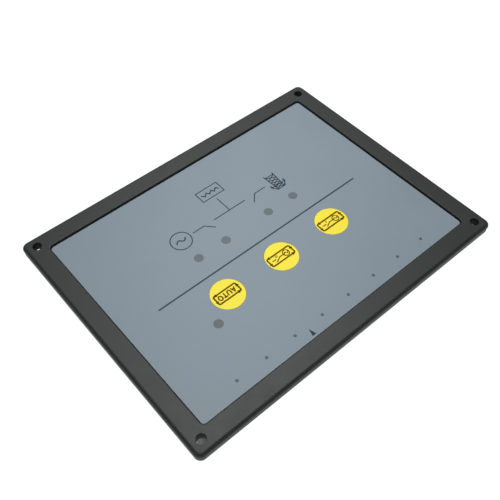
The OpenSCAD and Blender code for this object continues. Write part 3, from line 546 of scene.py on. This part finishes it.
def ink_line(points, width, closed=False):
    # A stroke of even width: a plate over its first two points, whose end is extruded to each next one
    corners = [Vector((x * MM, y * MM)) for x, y in points]
    sections = mitred(corners, width, closed)
    bpy.ops.object.select_all(action="DESELECT")
    bpy.ops.mesh.primitive_plane_add(size=MM, location=(0, 0, INK_Z))
    stroke = bpy.context.object
    bpy.ops.object.mode_set(mode="EDIT")
    bpy.ops.mesh.select_mode(type="EDGE")
    mesh = bmesh.from_edit_mesh(stroke.data)
    rights = sorted((v for v in mesh.verts if v.co.y < 0), key=lambda v: v.co.x)
    lefts = sorted((v for v in mesh.verts if v.co.y > 0), key=lambda v: v.co.x)
    for index in (0, 1):
        rights[index].co.xy = sections[index][0]
        lefts[index].co.xy = sections[index][1]
    last = next(edge for edge in mesh.edges if set(edge.verts) == {rights[1], lefts[1]})
    for index in range(2, len(corners)):
        bpy.ops.mesh.select_all(action="DESELECT")
        last.select_set(True)
        step = corners[index] - corners[index - 1]
        bpy.ops.mesh.extrude_region_move(TRANSFORM_OT_translate={"value": (step.x, step.y, 0)})
        mesh = bmesh.from_edit_mesh(stroke.data)
        last = next(edge for edge in mesh.edges if edge.select)
        ends = sorted(last.verts, key=lambda v: (v.co.xy - sections[index - 1][0] - step).length)
        ends[0].co.xy = sections[index][0]
        ends[1].co.xy = sections[index][1]
    if closed:
        bpy.ops.mesh.select_all(action="DESELECT")
        mesh = bmesh.from_edit_mesh(stroke.data)
        for right, left in (sections[0], sections[-1]):
            middle = (right + left) / 2
            nearest = min(
                mesh.edges,
                key=lambda e: ((e.verts[0].co + e.verts[1].co).xy / 2 - middle).length,
            )
            nearest.select_set(True)
        bpy.ops.mesh.bridge_edge_loops()
    bmesh.update_edit_mesh(stroke.data)
    bpy.ops.mesh.select_all(action="SELECT")
    bpy.ops.mesh.normals_make_consistent(inside=False)
    mesh = bmesh.from_edit_mesh(stroke.data)
    mesh.faces.ensure_lookup_table()
    if mesh.faces[0].normal.z < 0:
        bpy.ops.mesh.flip_normals()
    bpy.ops.object.mode_set(mode="OBJECT")
    thicken(stroke, INK_SHEET, UPWARDS)
    return stroke


def ink_arrow(length, width):
    # A solid arrowhead: a small plate whose far edge is drawn to a point at the panel's middle
    bpy.ops.object.select_all(action="DESELECT")
    bpy.ops.mesh.primitive_plane_add(size=1, location=(-0.5, 0, 0))
    head = bpy.context.object
    bpy.ops.object.mode_set(mode="EDIT")
    bpy.ops.mesh.select_all(action="DESELECT")
    mesh = bmesh.from_edit_mesh(head.data)
    for vert in mesh.verts:
        vert.select_set(vert.co.x > 0)
    mesh.select_flush_mode()
    bmesh.update_edit_mesh(head.data)
    bpy.ops.mesh.merge(type="CENTER")
    bpy.ops.object.mode_set(mode="OBJECT")
    bpy.ops.object.transform_apply(location=True, rotation=False, scale=False)
    head.scale = (length * MM, width * MM, 1)
    head.location = (0, 0, INK_Z)
    bpy.ops.object.transform_apply(location=True, rotation=False, scale=True)
    thicken(head, INK_SHEET, UPWARDS)
    return head


divider = settle(ink_line(DIVIDER_ENDS, DIVIDER_WIDTH), "divider_line", slate_ink)
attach(divider, "housing")

dot_pattern = ink_disc(DOT_ACROSS, DOT_SIDES)
for place in range(DOT_COUNT):
    dot_x = (place - (DOT_COUNT - 1) / 2) * DOT_PITCH
    dot = settle(copy_at(dot_pattern, dot_x, DOT_ROW_Y), f"dot_{place + 1}", dot_ink)
    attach(dot, "housing")
bpy.data.objects.remove(dot_pattern)

pointer_head = put(ink_arrow(POINTER_LENGTH, POINTER_WIDTH), *POINTER_TIP, DOWN)
pointer = settle(pointer_head, "pointer", pointer_ink)
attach(pointer, "housing")

# Mimic diagram: the mains pylon and the generator, each with its contact, on one bus that feeds the load.
# It is drawn in thin lines of the same slate ink, in common electrical symbols.
THIN = 0.50
BOLD = 0.66
PYLON_LEG = 0.52
PYLON_ARM = 0.58
PYLON_BEAM = 0.45
PYLON_INSULATOR = 0.85
PYLON_LACING = 0.46
GENERATOR_AT = (27.7, -19.8)
GENERATOR_RADIUS = 4.9
RING_SIDES = 64
WAVE_PERIODS = 1.3
WAVE_STEPS = 18


def ink_ring(x, y, radius, width, sides):
    # A ring of print: a round plate with its middle taken out
    ring = round_plate((radius + width / 2) * MM, sides, (x * MM, y * MM, INK_Z))
    bpy.ops.mesh.inset(thickness=width * MM)
    bpy.ops.mesh.delete(type="FACE")
    bpy.ops.object.mode_set(mode="OBJECT")
    thicken(ring, INK_SHEET, UPWARDS)
    return ring


def wave(x, y, length, height):
    # A little over one period of a sine, as the sign for alternating current
    along = [step / WAVE_STEPS - 0.5 for step in range(WAVE_STEPS + 1)]
    return [(x + length * t, y - height * math.sin(2 * math.pi * WAVE_PERIODS * t)) for t in along]


def join(pieces):
    # Makes one piece of several
    bpy.ops.object.select_all(action="DESELECT")
    for piece in pieces:
        piece.select_set(True)
    bpy.context.view_layer.objects.active = pieces[0]
    bpy.ops.object.join()
    return bpy.context.object


diagram = {
    "pylon": [
        ink_line([(-29.8, -25.0), (-28.9, -14.9)], PYLON_LEG),
        ink_line([(-24.7, -25.0), (-25.3, -14.9)], PYLON_LEG),
        ink_line([(-31.0, -17.1), (-29.3, -14.85), (-25.0, -14.85), (-23.4, -17.1)], PYLON_ARM),
        ink_line([(-31.3, -17.2), (-23.1, -17.2)], PYLON_BEAM),
        ink_line([(-31.0, -16.8), (-31.0, -18.5)], PYLON_INSULATOR),
        ink_line([(-23.45, -16.8), (-23.45, -18.5)], PYLON_INSULATOR),
        ink_line(
            [(-28.9, -15.2), (-25.4, -16.7), (-29.0, -18.2),
             (-25.2, -19.8), (-29.2, -21.5), (-25.0, -23.4)],
            PYLON_LACING,
        ),
        ink_line(
            [(-25.4, -15.2), (-28.9, -16.7), (-25.3, -18.2),
             (-29.1, -19.8), (-25.1, -21.5), (-29.5, -23.4)],
            PYLON_LACING,
        ),
        ink_line([(-29.6, -23.7), (-24.8, -23.7)], THIN),
    ],
    "mains_contact": [ink_line([(-21.3, -20.0), (-14.9, -20.0), (-11.3, -16.0)], THIN)],
    "bus": [
        ink_line([(-8.8, -19.8), (9.2, -19.8)], THIN),
        ink_line([(0.2, -20.0), (0.2, -29.0)], THIN),
    ],
    "load_box": [
        ink_line([(-5.75, -31.0), (-5.75, -37.25), (6.3, -37.25), (6.3, -31.0)], THIN, closed=True),
        ink_line(
            [(-4.45, -33.4), (-3.45, -34.75), (-1.75, -33.3), (-0.85, -34.75),
             (0.95, -33.3), (1.85, -34.75), (3.65, -33.2), (4.75, -34.75)],
            BOLD,
        ),
    ],
    "generator_contact": [ink_line([(11.2, -16.0), (14.9, -19.9), (21.1, -19.9)], THIN)],
    "generator": [
        ink_ring(*GENERATOR_AT, GENERATOR_RADIUS, THIN, RING_SIDES),
        ink_line(wave(*GENERATOR_AT, length=5.6, height=0.72), BOLD),
    ],
}
for name, strokes in diagram.items():
    sign = settle(join(strokes), name, slate_ink)
    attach(sign, "housing")

# Keys: three round yellow keys, flush with the film, that press on the switches behind them.
# Each cap is printed with its sign in brown: contactor on, contactor off and AUTO, in a loop of arrows.
KEY_LINE = 0.78
LOOP_TOP = 17.05
LOOP_FOOT = 12.50
LOOP_CORNER = 0.55
CORNER_STEPS = 4
LEFT = 180
UP = 90
RIGHT = 0
key_yellow = surface("key_yellow", (0.890, 0.762, 0.052), roughness=0.50, specular=FILM_SPECULAR)
key_tooth = noise(key_yellow, FILM_TOOTH, detail=2.0)
key_wear = noise(key_yellow, 6 * MM, detail=4.0)
relief(key_yellow, key_tooth, FILM_RISE)
vary(key_yellow, key_wear, "Roughness", low=0.45, high=0.55)
tint(key_yellow, key_wear, [(NOISE_LOW, (0.881, 0.752, 0.049)), (NOISE_HIGH, (0.895, 0.773, 0.055))])
paint(key_yellow, "on_key", "off_key", "auto_key")
sign_ink = ink("sign_ink", (0.165, 0.082, 0.003), roughness=0.6, specular=0.02)
loop_arrow = ink_arrow(length=1.5, width=1.8)


def arc(x, y, across, up, start, end, steps):
    # Points along an arc of an ellipse, between two angles
    turns = [math.radians(start + (end - start) * step / steps) for step in range(steps + 1)]
    return [(x + across * math.cos(turn), y + up * math.sin(turn)) for turn in turns]


def corner_arc(x, y, start):
    # A quarter round of the loop about (x, y)
    return arc(x, y, LOOP_CORNER, LOOP_CORNER, start, start + 90, CORNER_STEPS)


def arrow_loop(left, right):
    # A rounded rectangle with four arrowheads that run round it, their tips near its corners
    inner_left, inner_right = left + LOOP_CORNER, right - LOOP_CORNER
    inner_top, inner_foot = LOOP_TOP - LOOP_CORNER, LOOP_FOOT + LOOP_CORNER
    outline = (
        corner_arc(inner_left, inner_top, 90) + corner_arc(inner_left, inner_foot, 180)
        + corner_arc(inner_right, inner_foot, 270) + corner_arc(inner_right, inner_top, 0)
    )
    return [
        ink_line(outline, KEY_LINE, closed=True),
        copy_at(loop_arrow, left + 0.15, LOOP_TOP, LEFT),
        copy_at(loop_arrow, left, LOOP_FOOT + 0.35, DOWN),
        copy_at(loop_arrow, right - 0.25, LOOP_FOOT, RIGHT),
        copy_at(loop_arrow, right, LOOP_TOP - 0.20, UP),
    ]


def contactor():
    # An alternating-current source, an open contact and the line it feeds
    source_x, y = -2.73, 14.77
    return [
        ink_ring(source_x, y, radius=1.52, width=0.48, sides=40),
        ink_line(wave(source_x, y, length=2.5, height=0.42), width=0.44),
        ink_line([(-1.2, y), (0.8, y), (3.5, y + 1.35)], THIN),
        ink_line([(2.95, y), (5.0, y)], THIN),
    ]


def auto_word(x, y):
    # The word AUTO in bold capitals about (x, y), each letter from one or two strokes
    left, right = x - 1.72, x - 0.15
    bowl = arc((left + right) / 2, y - 0.2, (right - left) / 2, 0.76, start=180, end=360, steps=8)
    letter_a = [
        ink_line([(x - 4.1, y - 1.15), (x - 3.35, y + 1.1), (x - 2.4, y - 1.15)], BOLD),
        ink_line([(x - 3.8, y - 0.4), (x - 2.75, y - 0.4)], BOLD - 0.1),
    ]
    letter_u = [ink_line([(left, y + 1.3)] + bowl + [(right, y + 1.3)], BOLD)]
    letter_t = [
        ink_line([(x + 0.45, y + 1.0), (x + 2.2, y + 1.0)], BOLD),
        ink_line([(x + 1.35, y + 1.1), (x + 1.35, y - 1.2)], BOLD),
    ]
    ring = arc(x + 3.6, y + 0.1, 0.86, 1.08, start=0, end=342, steps=19)
    letter_o = [ink_line(ring, BOLD, closed=True)]
    return letter_a + letter_u + letter_t + letter_o


contactor_sign = join(arrow_loop(-6.05, 6.45) + contactor())
signs = {
    "on": [
        copy_at(contactor_sign, -KEY_PITCH, 0),
        ink_line([(-27.9, 14.3), (-27.9, 13.05)], width=0.40),
    ],
    "off": [
        copy_at(contactor_sign, 0, 0),
        ink_ring(1.95, 13.65, radius=0.45, width=0.32, sides=24),
    ],
    "auto": arrow_loop(24.3, 35.87) + auto_word(KEY_PITCH, 14.7),
}
bpy.data.objects.remove(contactor_sign)
bpy.data.objects.remove(loop_arrow)
for key, strokes in signs.items():
    sign = settle(join(strokes), f"{key}_sign", sign_ink)
    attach(sign, f"{key}_button")
